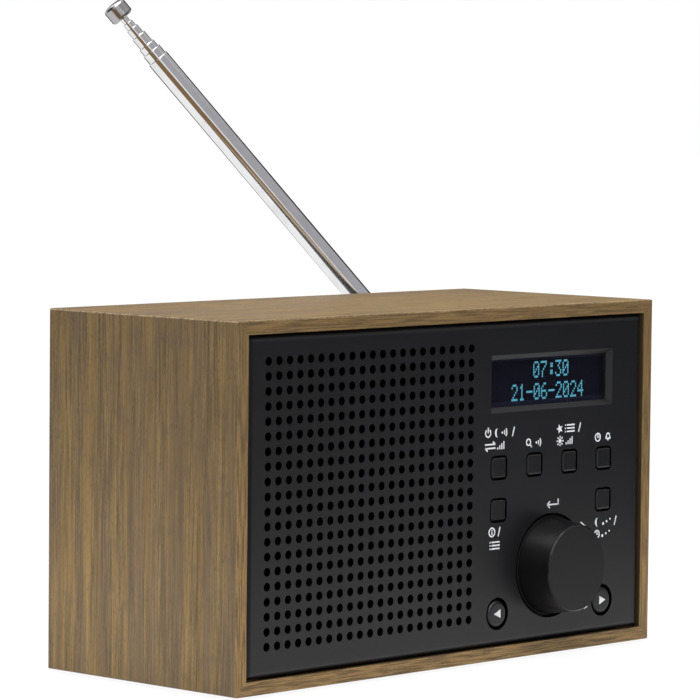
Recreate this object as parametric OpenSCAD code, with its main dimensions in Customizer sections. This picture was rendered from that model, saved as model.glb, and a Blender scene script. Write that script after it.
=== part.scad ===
// Tabletop radio: mitred wooden cabinet, moulded front panel with a drilled speaker grille,
// eight keys, a push-and-turn knob and a seven-section telescopic antenna.
// Millimetres. X runs to the right of the front, Y runs from front to back, Z is up.
// The origin is the centre of the underside of the cabinet, and the feet reach below it.

/* [Cabinet] */
// Overall width of the cabinet
body_w = 180; // [176:1:220]
// Overall height of the cabinet
body_h = 105.5; // [104:0.5:130]
// Overall depth of the cabinet
body_d = 78; // [74:1:110]
// Thickness of each cabinet board
board_t = 4; // [3:0.5:5]
// Rounding of the four long outer edges
corner_r = 0.8; // [0.2:0.1:2]
// Rounding of the outer edges round the front and the back
arris_r = 0.3; // [0.1:0.1:0.8]
// Side of the square battens glued inside the cabinet
batten_s = 8; // [7:0.5:10]
// Diameter of a foot
foot_d = 10; // [6:1:16]
// Thickness of a foot
foot_t = 1; // [0.6:0.2:4]
// Distance from the cabinet's outside to the centre of a foot
foot_inset = 18; // [10:1:30]

/* [Front panel] */
// Thickness of the moulded front panel
panel_t = 2.5; // [2.3:0.1:3.5]
// How far the panel's face lies behind the cabinet's front edges
panel_recess = 0.65; // [0:0.05:3]
// Gap all round between the panels and the cabinet
panel_gap = 0.2; // [0.1:0.1:0.8]
// Rounding of the panel's front edges
panel_edge_r = 2.2; // [0.5:0.1:2.3]
// Diameter of a grille hole
hole_d = 2.55; // [1.4:0.05:3]
// Spacing of the grille holes both ways
hole_pitch = 4.24; // [3.6:0.02:4.4]
// Gap from the left board to the grille's holes
grille_side = 7.3; // [7:0.1:12]
// Gap from the grille's holes to the display's window
grille_to_window = 7.7; // [7:0.1:12]
// Gap from the bottom board to the grille's holes
grille_low = 7.9; // [7:0.1:12]
// Gap from the grille's holes to the top board
grille_high = 6.4; // [6:0.1:12]
// Thickness of the ribs behind the panel
rib_t = 1.2; // [0.8:0.1:1.6]
// Depth of the ribs behind the panel
rib_depth = 3; // [2:0.5:6]

/* [Controls] */
// Centre line of the controls from the inner face of the right board
controls_x = 41.8; // [40:0.1:42.5]
// Height of the lower row of keys
low_row_z = 13.9; // [13:0.1:15]
// Height of the knob
knob_z = 26.6; // [26:0.1:28]
// Place of the upper row of keys, as a share of the way from the knob's well up to the window
row_place = 0.48; // [0.45:0.01:0.55]
// Distance from the upper row of keys down to the middle row
row_step = 12.7; // [12:0.1:14]
// Spacing of the keys in the upper row
key_pitch = 16.05; // [15.8:0.05:16.2]
// Width of a square key
key_w = 6.2; // [5:0.1:6.6]
// Height of a square key
key_h = 6.1; // [5:0.1:7]
// Corner rounding of a square key
key_r = 1; // [0.4:0.1:1.4]
// Rounding of a key's front edges
key_edge_r = 0.6; // [0.2:0.1:0.8]
// Gap round a square key
key_gap = 0.65; // [0.2:0.05:0.8]
// Diameter of a round key
round_key_d = 8; // [7:0.1:9]
// Rounding of a round key's front edge
round_edge_r = 1; // [0.2:0.1:1.4]
// Gap round a round key
round_key_gap = 0.9; // [0.3:0.05:1]
// Travel of every key
key_travel = 0.5; // [0.2:0.1:0.8]
// How far a key stands out of the panel
key_proud = 0.2; // [0.1:0.1:1]

/* [Knob] */
// Diameter of the knob where it enters the panel
knob_base_d = 29.4; // [26:0.1:30]
// Diameter of the knob's face
knob_face_d = 26.2; // [22:0.1:28]
// How far the knob's face stands out of the panel
knob_proud = 10.5; // [9:0.5:14]
// How deep the knob's rim sits in its well
knob_sink = 0.6; // [0.2:0.1:0.8]
// Diameter of the round well behind the knob
well_d = 31.8; // [31:0.1:33]
// How far the lip round the knob's base reaches past its side
knob_lip = 0.3; // [0.2:0.1:0.6]
// Depth of the well
well_depth = 1.5; // [1.2:0.1:1.5]
// Wall of the knob
knob_wall = 1.8; // [1.2:0.1:2.5]
// Diameter of the encoder's shaft
shaft_d = 6; // [5.5:0.1:6]
// Travel of the knob when it is pressed
knob_travel = 0.5; // [0.2:0.1:0.5]

/* [Display] */
// Distance from the top board down to the display's centre
display_drop = 18.9; // [17:0.05:24]
// Width of the window at the panel's face
window_w = 55.6; // [54:0.1:58]
// Height of the window at the panel's face
window_h = 17.2; // [15:0.1:18]
// Width of the slope round the window
window_bevel = 1.5; // [0.5:0.1:2]
// Depth of the slope round the window
bevel_depth = 1.5; // [0.5:0.1:1.5]
// Thickness of the clear window
lens_t = 1; // [0.6:0.1:1.1]
// How far the display module reaches past the window at each side
lcd_side = 3.9; // [2.5:0.1:4]
// How far the display module reaches past the window above and below
lcd_rim = 2.9; // [2:0.1:3]

/* [Speaker] */
// How far the speaker's square flange stays inside the grille at each side
speaker_inset = 4.7; // [3:0.1:8]
// Thickness of the flange and of the basket
speaker_sheet = 1.2; // [0.8:0.1:1.6]
// Distance from the flange's sides to the speaker's screws
speaker_screw_inset = 7; // [6:0.5:9]
// Width of the flange round the basket's opening
flange_rim = 4; // [3:0.5:6]
// Depth of the basket behind its flange
basket_depth = 18; // [14:0.5:20]
// Diameter of the magnet
magnet_d = 56; // [48:0.5:60]
// Thickness of the magnet
magnet_t = 11; // [8:0.5:14]

/* [Antenna] */
// Antenna pivot from the inner face of the right board
pivot_x = 22.5; // [18:0.5:30]
// Antenna pivot below the top of the cabinet
pivot_drop = 14; // [12:0.5:20]
// Antenna pivot behind the cabinet's back edges
pivot_back = 8; // [7.5:0.5:12]
// Swing of the antenna from upright, to the left of the front
swing = 33.6; // [0:0.1:60]
// Fold of the antenna backwards
fold = 24.6; // [5:0.1:60]
// Distance from the hinge pin to the mouth of the outer tube
outer_reach = 114.7; // [90:0.1:120]
// Outer diameter of the outer tube
tube_d = 7.2; // [7:0.1:7.6]
// Wall of every tube
tube_wall = 0.35; // [0.3:0.05:0.4]
// Radial clearance between one tube and the next
tube_slip = 0.05; // [0.03:0.01:0.08]
// Diameter of the antenna's tip
tip_d = 7.6; // [6:0.1:8]
// Length of the antenna's tip
tip_l = 5.7; // [4:0.1:8]
// Radius of the two rounded edges of the antenna tip
tip_edge_r = 1.1; // [0.6:0.1:1.6]

/* [Electronics] */
// Distance from the front panel's back to the control board
board_gap = 8; // [8:0.1:8.4]
// Thickness of the circuit boards
pcb_t = 1.6; // [1:0.1:2]
// Width of the main board
main_w = 130; // [126:1:134]
// Gap from the control board back to the main board
main_gap = 15.4; // [13:0.1:18]
// Height of the main board's standoffs
standoff_h = 8; // [6:0.5:9]
// Bore of the headphone socket
jack_d = 3.6; // [3.5:0.05:3.7]
// Bore of the power socket
dc_d = 6.3; // [5.5:0.1:6.5]

/* [Hidden] */
$fn = 64;
eps = 0.01;

// cabinet
inner_w = body_w - 2 * board_t;
inner_h = body_h - 2 * board_t;
front_y = -body_d / 2;
rear_y = body_d / 2;
mid_z = body_h / 2;

// front panel
panel_y = front_y + panel_recess;
panel_back_y = panel_y + panel_t;
panel_w = inner_w - 2 * panel_gap;
panel_h = inner_h - 2 * panel_gap;
controls_cx = inner_w / 2 - controls_x;
display_z = body_h - board_t - display_drop;

// grille: as many holes as its field takes, centred in it
field_w = inner_w - grille_side - grille_to_window - controls_x - window_w / 2;
field_h = inner_h - grille_low - grille_high;
hole_columns = 1 + floor((field_w - hole_d) / hole_pitch + eps);
hole_rows = 1 + floor((field_h - hole_d) / hole_pitch + eps);
grille_cx = -inner_w / 2 + grille_side + field_w / 2;
grille_z = board_t + grille_low + field_h / 2;

// rows of keys
well_top_z = knob_z + well_d / 2;
window_low_z = display_z - window_h / 2;
top_row_z = well_top_z + row_place * (window_low_z - well_top_z);
mid_row_z = top_row_z - row_step;

// screws: every screw is the same 2.5 mm thread-forming screw with a pan head
screw_d = 2.5;
screw_head_d = 4.8;
screw_head_t = 1.6;
screw_slip = 0.02;
clear_d = 3;
post_d = 5.5;
fit_gap = 0.3;

// control board behind the panel
board_y = panel_back_y + board_gap;
board_back_y = board_y + pcb_t;
lcd_w = window_w + 2 * lcd_side;
lcd_h = window_h + 2 * lcd_rim;
lcd_top_z = display_z + lcd_h / 2;
low_post_x = 14.6;
low_post_z = knob_z - 18.1;
high_post_x = lcd_w / 2 - 3.5;
post_places = [for (side = [-1, 1])
    each [[side * low_post_x, low_post_z], [side * key_pitch, (mid_row_z + top_row_z) / 2],
        [side * high_post_x, lcd_top_z + post_d / 2 + fit_gap]]];
control_w = lcd_w;
control_low_z = low_post_z - post_d / 2 - 2 * fit_gap;
control_high_z = lcd_top_z + post_d + 2 * fit_gap;

// keys: place from the control centre line, height, round or square
key_list = [["standby", -1.5 * key_pitch, top_row_z, false], ["scan", -0.5 * key_pitch, top_row_z, false],
    ["preset", 0.5 * key_pitch, top_row_z, false], ["alarm", 1.5 * key_pitch, top_row_z, false],
    ["info", -1.5 * key_pitch, mid_row_z, false], ["sleep", 1.5 * key_pitch, mid_row_z, false],
    ["previous", -1.5 * key_pitch, low_row_z, true], ["next", 1.5 * key_pitch, low_row_z, true]];
switch_s = 6;
switch_t = 3.5;
plunger_d = 3.4;
plunger_slip = 0.05;
plunger_l = 3.1;
plunger_in = 1.3;
plunger_tip_y = board_y - switch_t + plunger_in - plunger_l;
flange_extra = 1.4;
flange_t = 1;
key_flange_y = panel_back_y + fit_gap;
stem_d = 3.4;

// knob and encoder
knob_face_y = panel_y - knob_proud;
knob_rim_y = panel_y + knob_sink;
knob_edge = 0.4;
knob_lip_t = 0.4;
encoder_w = 12;
encoder_t = 6.5;
encoder_y = board_y - encoder_t;
bushing_d = 7;
bushing_l = 4.4;
shaft_slip = 0.05;
hub_d = 10.5;
hub_y = encoder_y - bushing_l - knob_travel - fit_gap;
shaft_end_y = knob_face_y + knob_wall + 0.6;
shaft_flat = 1.5;
rotor_d = 9;
rotor_t = 1.6;
rotor_y = board_y - 3.4;
shaft_tail_y = board_y - 0.9;
well_ring_d = well_d + 4;
well_ring_t = 1;

// display
lens_margin = 1.5;
lens_w = window_w + 2 * lens_margin - 2 * window_bevel + 1;
lens_h = window_h + 2 * lens_margin - 2 * window_bevel + 1;
lens_gap = 0.1;
lens_front_y = panel_y + bevel_depth + lens_gap;
lens_y = lens_front_y + lens_t;
lcd_y = max(lens_y, panel_back_y) + fit_gap;
lcd_lip = 0.5;
lcd_wall = 1;
lcd_glass_t = 2.2;

// speaker
speaker_y = panel_back_y + 3;
speaker_w = field_w - 2 * speaker_inset;
speaker_screws_w = speaker_w - 2 * speaker_screw_inset;
basket_d = speaker_w - 2 * flange_rim;
surround_w = 4;
cone_r = basket_d / 2 - surround_w;
coil_r = 10;
basket_foot_r = magnet_d / 2 - 5;
basket_back_y = speaker_y + speaker_sheet + basket_depth;
magnet_y = basket_back_y;
terminal_w = 8;

// back panel
back_t = 2.5;
back_recess = 1;
back_y = rear_y - back_recess;
back_inner_y = back_y - back_t;
back_screw_l = 6;
batten_gap_x = inner_w / 2 - batten_s / 2;
batten_posts_z = [for (k = [-1:1]) mid_z + k * (inner_h / 2 - 10)];

// main board and its sockets
main_z = board_t + standoff_h;
main_top_z = main_z + pcb_t;
main_back_y = back_inner_y - 1.5;
main_front_y = board_back_y + main_gap;
main_d = main_back_y - main_front_y;
main_holes = [for (x = [-1, 1], y = [0, 1])
    [x * (main_w / 2 - 4), y == 0 ? main_front_y + 4 : main_back_y - 4]];
dc_x = -main_w / 2 + 13;
dc_w = 9;
dc_h = 11;
dc_depth = 9;
dc_pin_d = 2;
jack_x = dc_x + 18;
jack_w = 7;
jack_h = 5;
jack_depth = 14;
jack_back = 16;
snout_wall = 0.9;
snout_end_y = back_y - 0.2;
dc_z = main_top_z + dc_h / 2;
jack_z = main_top_z + jack_h / 2 + 0.5;
header_w = 22;
header_d = 4;
header_t = 3;
header_x = 30;
header_y = main_front_y + 6;
ribbon_rise = 12;
header_z = main_top_z + ribbon_rise;
ribbon_w = 20;
ribbon_t = 1;
lead_d = 2.2;
lead_bend = 5;
lead_x = grille_cx + magnet_d / 2 + 3;
lead_y = main_front_y + 4;
lead_block = 5;
tuner = [26, 20, 4];
tuner_x = 4;
capacitor_d = 6.3;
capacitor_h = 7.5;

// antenna, drawn upright about its hinge pin and then swung and folded
pivot = [inner_w / 2 - pivot_x, rear_y + pivot_back, body_h - pivot_drop];
steps = [0, 3.2, 2.4, 3.9, 3.1, 2.2, 1.8];
tube_step = 2 * (tube_wall + tube_slip);
tube_floor = 8;
tube_floor_t = 1.2;
floor_step = 3.8;
mouth_r = 0.25;
tang_t = 3;
tang_w = 6;
ear_t = 1.6;
ear_r = 3.4;
ear_slip = 0.1;
pin_d = 2;
pin_slip = 0.05;
pin_head_t = 0.5;
swivel_d = 11;
swivel_t = 2.2;
swivel_top = 3.9;
stub_d = 5;
stub_slip = 0.06;
bracket_d = 14;
bracket_y = pivot[1] - swivel_top - swivel_t - 0.1;
swivel_screw_d = 2.5;
swivel_head_d = 7;
swivel_head_t = 1.8;

// ---------------------------------------------------------------- helpers

// A flat shape drawn as seen from the front, from depth y0 back to depth y1
module slab(y0, y1) {
    translate([0, y1, 0])
        rotate([90, 0, 0])
            linear_extrude(y1 - y0)
                children();
}

// A round bar along Y
module bar(d, y0, y1) {
    slab(y0, y1) circle(d = d);
}

module at(x, z) {
    translate([x, 0, z]) children();
}

module rounded_rect(w, h, r) {
    square([w - 2 * r, h], center = true);
    square([w, h - 2 * r], center = true);
    for (x = [-1, 1], y = [-1, 1])
        translate([x * (w / 2 - r), y * (h / 2 - r)]) circle(r);
}

// A profile turned about the Y axis, drawn as [radius, depth]
module turned(y) {
    translate([0, y, 0])
        rotate([-90, 0, 0])
            rotate_extrude() children();
}

// A pan-head screw along Y: its head starts at head_y and its shank points to the front
module front_screw(head_y, length) {
    bar(screw_d, head_y - length, head_y);
    bar(screw_head_d, head_y, head_y + screw_head_t);
}

// ---------------------------------------------------------------- cabinet

module cabinet_ring() {
    difference() {
        translate([0, mid_z]) rounded_rect(body_w, body_h, corner_r);
        translate([0, mid_z]) square([inner_w, inner_h], center = true);
    }
}

// The cabinet's outside, with the edges round its front and back eased
module cabinet_envelope() {
    intersection() {
        linear_extrude(body_h) rounded_rect(body_w, body_d, arris_r);
        translate([body_w / 2, 0, mid_z])
            rotate([0, -90, 0])
                linear_extrude(body_w) rounded_rect(body_h, body_d, arris_r);
    }
}

// The part of the cabinet's outline between two mitres
module mitred(points) {
    intersection() {
        slab(front_y, rear_y)
            intersection() {
                cabinet_ring();
                polygon(points);
            }
        cabinet_envelope();
    }
}

function outer(x, z) = [x * body_w / 2, mid_z + z * body_h / 2];
function inner(x, z) = [x * inner_w / 2, mid_z + z * inner_h / 2];

module cabinet_top() {
    color("burlywood") mitred([outer(-1, 1), outer(1, 1), inner(1, 1), inner(-1, 1)]);
}

module cabinet_bottom() {
    color("burlywood")
        difference() {
            mitred([outer(-1, -1), outer(1, -1), inner(1, -1), inner(-1, -1)]);
            for (p = main_holes)
                translate([p[0], p[1], board_t - 2.5]) cylinder(d = screw_d + 2 * screw_slip, h = 4);
        }
}

module cabinet_left() {
    color("peru") mitred([outer(-1, -1), outer(-1, 1), inner(-1, 1), inner(-1, -1)]);
}

module cabinet_right() {
    color("peru") mitred([outer(1, -1), outer(1, 1), inner(1, 1), inner(1, -1)]);
}

module batten(y0, y1) {
    slab(y0, y1)
        translate([0, mid_z]) square([batten_s, inner_h], center = true);
}

module cabinet_battens() {
    color("tan")
        for (side = [-1, 1])
            at(side * batten_gap_x, 0) {
                difference() {
                    batten(panel_back_y, panel_back_y + batten_s);
                    for (z = batten_posts_z)
                        at(0, z) {
                            bar(post_d + 2 * fit_gap, panel_back_y - 1, panel_back_y + batten_s - 3);
                            bar(clear_d, panel_back_y - 1, panel_back_y + batten_s + 1);
                        }
                }
                difference() {
                    batten(back_inner_y - batten_s, back_inner_y);
                    for (z = batten_posts_z)
                        at(0, z) bar(screw_d + 2 * screw_slip, back_inner_y - back_screw_l - 0.5, back_inner_y + 1);
                }
            }
}

module feet() {
    color("dimgray")
        for (x = [-1, 1], y = [-1, 1])
            translate([x * (body_w / 2 - foot_inset), y * (body_d / 2 - foot_inset), -foot_t])
                cylinder(d = foot_d, h = foot_t);
}

// ---------------------------------------------------------------- front panel

// Cross-section of a block of width w and depth t with its two front edges rounded
module rounded_front(w, t, r) {
    intersection() {
        translate([-w / 2, 0]) square([w, t]);
        union() {
            translate([-w / 2, r]) square([w, t]);
            translate([-w / 2 + r, 0]) square([w - 2 * r, t]);
            for (side = [-1, 1])
                translate([side * (w / 2 - r), r]) circle(r);
        }
    }
}

// A block about the origin, from y = 0 back, with its four front edges rounded
module front_block(w, h, t, r) {
    intersection() {
        translate([0, 0, -h / 2]) linear_extrude(h) rounded_front(w, t, r);
        translate([w / 2, 0, 0])
            rotate([0, -90, 0])
                linear_extrude(w) rounded_front(h, t, r);
    }
}

module panel_blank() {
    translate([0, panel_y, mid_z]) front_block(panel_w, panel_h, panel_t, panel_edge_r);
}

// Ribs along the panel's top and bottom between the battens, and one between speaker and display
module panel_ribs() {
    reach = inner_w / 2 - batten_s - fit_gap;
    rib_x = (grille_cx + speaker_w / 2 + controls_cx - lcd_w / 2) / 2;
    slab(panel_back_y - eps, panel_back_y + rib_depth) {
        for (z = [-1, 1])
            translate([-reach, mid_z + z * (panel_h - rib_t) / 2 - rib_t / 2]) square([2 * reach, rib_t]);
        translate([rib_x - rib_t / 2, mid_z - panel_h / 2 + rib_t / 2])
            square([rib_t, panel_h - rib_t]);
    }
}

module grille_holes() {
    slab(panel_y - 1, panel_back_y + 1)
        for (i = [0:hole_columns - 1], j = [0:hole_rows - 1])
            translate([grille_cx + (i - (hole_columns - 1) / 2) * hole_pitch,
                grille_z + (j - (hole_rows - 1) / 2) * hole_pitch])
                circle(d = hole_d, $fn = 24);
}

// Cross-section of the sloping window in one direction
module window_slope(w) {
    polygon([[-w / 2 - eps, -eps], [w / 2 + eps, -eps], [w / 2 - window_bevel, bevel_depth],
        [w / 2 - window_bevel, panel_t + 1], [-w / 2 + window_bevel, panel_t + 1],
        [-w / 2 + window_bevel, bevel_depth]]);
}

module display_window() {
    translate([controls_cx, panel_y, display_z])
        intersection() {
            translate([0, 0, -window_h]) linear_extrude(2 * window_h) window_slope(window_w);
            translate([window_w, 0, 0])
                rotate([0, -90, 0])
                    linear_extrude(2 * window_w) window_slope(window_h);
        }
}

// Pocket behind the window, which holds the lens
module lens_pocket() {
    at(controls_cx, display_z)
        slab(lens_front_y, panel_back_y + 1)
            rounded_rect(lens_w + 2 * lens_gap, lens_h + 2 * lens_gap, 1 + lens_gap);
}

module key_openings() {
    for (k = key_list)
        at(controls_cx + k[1], k[2])
            slab(panel_y - 1, panel_back_y + 1)
                if (k[3])
                    circle(d = round_key_d + 2 * round_key_gap);
                else
                    rounded_rect(key_w + 2 * key_gap, key_h + 2 * key_gap, key_r + key_gap);
}

module knob_opening() {
    at(controls_cx, knob_z) {
        bar(well_d, panel_y - 1, panel_y + well_depth);
        bar(bushing_d + 4 * fit_gap, panel_y - 1, panel_back_y + 2);
    }
}

// A post with a pilot hole, from the panel's back to depth y
module panel_post(y) {
    difference() {
        bar(post_d, panel_back_y, y);
        bar(screw_d + 2 * screw_slip, panel_back_y + 0.6, y + 1);
    }
}

module front_panel() {
    color([0.13, 0.13, 0.14])
        union() {
            difference() {
                union() {
                    panel_blank();
                    panel_ribs();
                    at(controls_cx, knob_z) bar(well_ring_d, panel_back_y - eps, panel_back_y + well_ring_t);
                }
                grille_holes();
                display_window();
                lens_pocket();
                key_openings();
                knob_opening();
            }
            for (p = post_places)
                at(controls_cx + p[0], p[1]) panel_post(board_y);
            for (x = [-1, 1], z = [-1, 1])
                at(grille_cx + x * speaker_screws_w / 2, grille_z + z * speaker_screws_w / 2)
                    panel_post(speaker_y);
            for (side = [-1, 1], z = batten_posts_z)
                at(side * batten_gap_x, z) panel_post(panel_back_y + batten_s - 3 - fit_gap);
        }
}

// ---------------------------------------------------------------- display

module display_lens() {
    color([0.1, 0.12, 0.2])
        at(controls_cx, display_z)
            slab(lens_front_y, lens_y) rounded_rect(lens_w, lens_h, 1);
}

module lcd_glass() {
    color([0.05, 0.06, 0.15])
        at(controls_cx, display_z)
            slab(lcd_y + lcd_lip, lcd_y + lcd_lip + lcd_glass_t)
                square([lcd_w - 2 * lcd_wall, lcd_h - 2 * lcd_wall], center = true);
}

module lcd_frame() {
    color("silver")
        at(controls_cx, display_z)
            difference() {
                slab(lcd_y, board_y) square([lcd_w, lcd_h], center = true);
                slab(lcd_y - 1, lcd_y + lcd_lip + eps)
                    square([window_w - 2 * window_bevel + 2, window_h - 2 * window_bevel + 2], center = true);
                slab(lcd_y + lcd_lip, lcd_y + lcd_lip + lcd_glass_t)
                    square([lcd_w - 2 * lcd_wall, lcd_h - 2 * lcd_wall], center = true);
            }
}

// ---------------------------------------------------------------- control board, keys and knob

module control_board() {
    color("darkgreen")
        union() {
            difference() {
                slab(board_y, board_back_y)
                    translate([controls_cx - control_w / 2, control_low_z])
                        square([control_w, control_high_z - control_low_z]);
                for (p = post_places)
                    at(controls_cx + p[0], p[1]) bar(clear_d, board_y - 1, board_back_y + 1);
            }
            // header for the ribbon cable
            translate([header_x - header_w / 2, board_back_y, header_z - header_d / 2])
                cube([header_w, header_t, header_d]);
        }
}

module switch_bodies() {
    color("dimgray")
        for (k = key_list)
            at(controls_cx + k[1], k[2])
                difference() {
                    slab(board_y - switch_t, board_y) square(switch_s, center = true);
                    bar(plunger_d + 2 * plunger_slip, board_y - switch_t - 1,
                        board_y - switch_t + plunger_in + key_travel + 0.4);
                }
}

module key(k) {
    color([0.16, 0.16, 0.17])
        at(controls_cx + key_list[k][1], key_list[k][2]) {
            if (key_list[k][3]) {
                turned(panel_y - key_proud) round_key_profile();
            } else {
                intersection() {
                    slab(panel_y - key_proud, key_flange_y + flange_t / 2)
                        rounded_rect(key_w, key_h, key_r);
                    translate([0, panel_y - key_proud, 0])
                        front_block(key_w, key_h, key_proud + panel_t + fit_gap + flange_t, key_edge_r);
                }
                slab(key_flange_y, key_flange_y + flange_t)
                    rounded_rect(key_w + 2 * flange_extra, key_h + 2 * flange_extra, key_r);
            }
            bar(stem_d, key_flange_y + flange_t / 2, plunger_tip_y);
        }
}

// A round key: domed front edge, straight side and a flange behind the panel
module round_key_profile() {
    r = round_key_d / 2;
    flange = key_proud + panel_t + fit_gap;
    square([r - round_edge_r, flange + flange_t]);
    translate([0, round_edge_r]) square([r, flange + flange_t - round_edge_r]);
    translate([r - round_edge_r, round_edge_r]) circle(round_edge_r);
    translate([0, flange]) square([r + flange_extra, flange_t]);
}

module plunger(k) {
    color("black")
        at(controls_cx + key_list[k][1], key_list[k][2])
            bar(plunger_d, plunger_tip_y, plunger_tip_y + plunger_l);
}

// Cross-section of the shaft: round with one flat
module shaft_section(grow) {
    difference() {
        circle(d = shaft_d + 2 * grow);
        translate([-shaft_d, shaft_flat + grow]) square([2 * shaft_d, shaft_d]);
    }
}

module encoder_body() {
    color("silver")
        at(controls_cx, knob_z)
            difference() {
                union() {
                    slab(encoder_y, board_y) square(encoder_w, center = true);
                    bar(bushing_d, encoder_y - bushing_l, encoder_y + eps);
                }
                bar(shaft_d + 2 * shaft_slip, encoder_y - bushing_l - 1, board_y - 0.3);
                bar(rotor_d + 2 * shaft_slip, rotor_y - shaft_slip, rotor_y + rotor_t + shaft_slip);
            }
}

module encoder_rotor() {
    color("ivory")
        at(controls_cx, knob_z)
            slab(rotor_y, rotor_y + rotor_t)
                difference() {
                    circle(d = rotor_d);
                    shaft_section(shaft_slip);
                }
}

module encoder_shaft() {
    color("gainsboro")
        at(controls_cx, knob_z)
            slab(shaft_end_y, shaft_tail_y) shaft_section(0);
}

module knob() {
    rb = knob_base_d / 2;
    rf = knob_face_d / 2;
    l = knob_rim_y - knob_face_y;
    color([0.12, 0.12, 0.13])
        at(controls_cx, knob_z)
            difference() {
                union() {
                    turned(knob_face_y)
                        polygon([[0, 0], [rf - knob_edge, 0], [rf, knob_edge], [rb, l - knob_lip_t],
                            [rb + knob_lip - 0.1, l - knob_lip_t], [rb + knob_lip, l - knob_lip_t + 0.1],
                            [rb + knob_lip, l], [rb - knob_wall, l],
                            [rf - knob_wall, knob_wall], [0, knob_wall]]);
                    bar(hub_d, knob_face_y + knob_wall / 2, hub_y);
                    for (a = [30:60:330])
                        rotate([0, a, 0])
                            translate([hub_d / 2 - 0.5, knob_face_y + knob_wall / 2, -0.5])
                                cube([rf - knob_wall / 2 - hub_d / 2, 4, 1]);
                }
                slab(shaft_end_y, hub_y + 1) shaft_section(screw_slip);
            }
}

// ---------------------------------------------------------------- speaker

module speaker_basket() {
    r0 = basket_d / 2;
    r1 = basket_foot_r;
    y1 = speaker_sheet + basket_depth;
    s = speaker_sheet;
    color("slategray")
        at(grille_cx, grille_z)
            difference() {
                union() {
                    slab(speaker_y, speaker_y + s)
                        difference() {
                            rounded_rect(speaker_w, speaker_w, 9);
                            circle(r0);
                        }
                    turned(speaker_y)
                        polygon([[r0, 0], [r0 + s, 0], [r0 + s, 4], [r1 + s, y1], [coil_r + 2, y1],
                            [coil_r + 2, y1 - s], [r1, y1 - s], [r0, 4]]);
                    // terminal strip beside the magnet
                    translate([r1 - 1, 0, -terminal_w / 2])
                        slab(basket_back_y - s, basket_back_y)
                            square([lead_x - grille_cx + lead_d / 2 + 1 - r1 + 1, terminal_w]);
                }
                // four windows between the basket's arms
                for (a = [0:90:270])
                    rotate([0, a + 45, 0])
                        translate([r1 - 2, speaker_y + 5.5, -9])
                            cube([r0, basket_depth - 7, 18]);
                for (x = [-1, 1], z = [-1, 1])
                    at(x * speaker_screws_w / 2, z * speaker_screws_w / 2)
                        bar(clear_d, speaker_y - 1, speaker_y + s + 1);
            }
}

module speaker_surround() {
    r = surround_w / 2;
    color("black")
        at(grille_cx, grille_z)
            turned(speaker_y + r)
                translate([cone_r + r, 0])
                    difference() {
                        circle(r);
                        circle(r - 0.5);
                        translate([-surround_w, 0]) square([2 * surround_w, surround_w]);
                    }
}

module speaker_cone() {
    t = 0.5;
    depth = basket_depth - 7;
    color("gray")
        at(grille_cx, grille_z)
            turned(speaker_y + surround_w / 2)
                polygon([[cone_r, 0], [cone_r + 0.5, 0], [cone_r + 0.5, t], [cone_r, t],
                    [coil_r, depth + t], [coil_r, depth + 6], [coil_r - t, depth + 6], [coil_r - t, depth]]);
}

module speaker_dust_cap() {
    r = coil_r + 3;
    rise = 4;
    ball = (r * r + rise * rise) / (2 * rise);
    depth = basket_depth - 7;
    seat = depth * (cone_r - r) / (cone_r - coil_r + 0.5) - 0.1;
    color("black")
        at(grille_cx, grille_z)
            turned(speaker_y + surround_w / 2 + seat - rise)
                intersection() {
                    difference() {
                        translate([0, ball]) circle(ball, $fn = 96);
                        translate([0, ball]) circle(ball - 0.5, $fn = 96);
                    }
                    square([r, rise]);
                }
}

module speaker_magnet() {
    color("darkslategray")
        at(grille_cx, grille_z)
            turned(magnet_y)
                difference() {
                    union() {
                        translate([coil_r + 2, 0]) square([magnet_d / 2 - coil_r - 4, 1.5]);
                        translate([coil_r + 2, 1.5]) square([magnet_d / 2 - coil_r - 2, magnet_t - 3]);
                        translate([0, magnet_t - 1.5]) square([magnet_d / 2 - 2, 1.5]);
                    }
                    translate([0, -1]) square([coil_r + 1, 2]);
                }
}

module speaker_screws() {
    color("silver")
        for (x = [-1, 1], z = [-1, 1])
            at(grille_cx + x * speaker_screws_w / 2, grille_z + z * speaker_screws_w / 2)
                front_screw(speaker_y + speaker_sheet, speaker_sheet + 2);
}

// ---------------------------------------------------------------- inner screws and main board

module panel_screws() {
    color("silver")
        for (side = [-1, 1], z = batten_posts_z)
            at(side * batten_gap_x, z) front_screw(panel_back_y + batten_s, batten_s - 1.5);
}

module board_screws() {
    color("silver") {
        for (p = post_places)
            at(controls_cx + p[0], p[1]) front_screw(board_back_y, 6);
        for (p = main_holes)
            translate([p[0], p[1], main_top_z]) {
                translate([0, 0, -pcb_t - standoff_h / 2]) cylinder(d = screw_d, h = pcb_t + standoff_h / 2);
                cylinder(d = screw_head_d, h = screw_head_t);
            }
    }
}

// Each standoff has a stud that screws into the cabinet's bottom
module board_standoffs() {
    color("gold")
        for (p = main_holes)
            translate([p[0], p[1], 0])
                difference() {
                    union() {
                        translate([0, 0, board_t]) cylinder(d = 6, h = standoff_h, $fn = 6);
                        translate([0, 0, board_t - 2.2]) cylinder(d = screw_d, h = 2.2 + eps);
                    }
                    translate([0, 0, main_z - standoff_h / 2 - 0.6])
                        cylinder(d = screw_d + 2 * screw_slip, h = standoff_h);
                }
}

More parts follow.
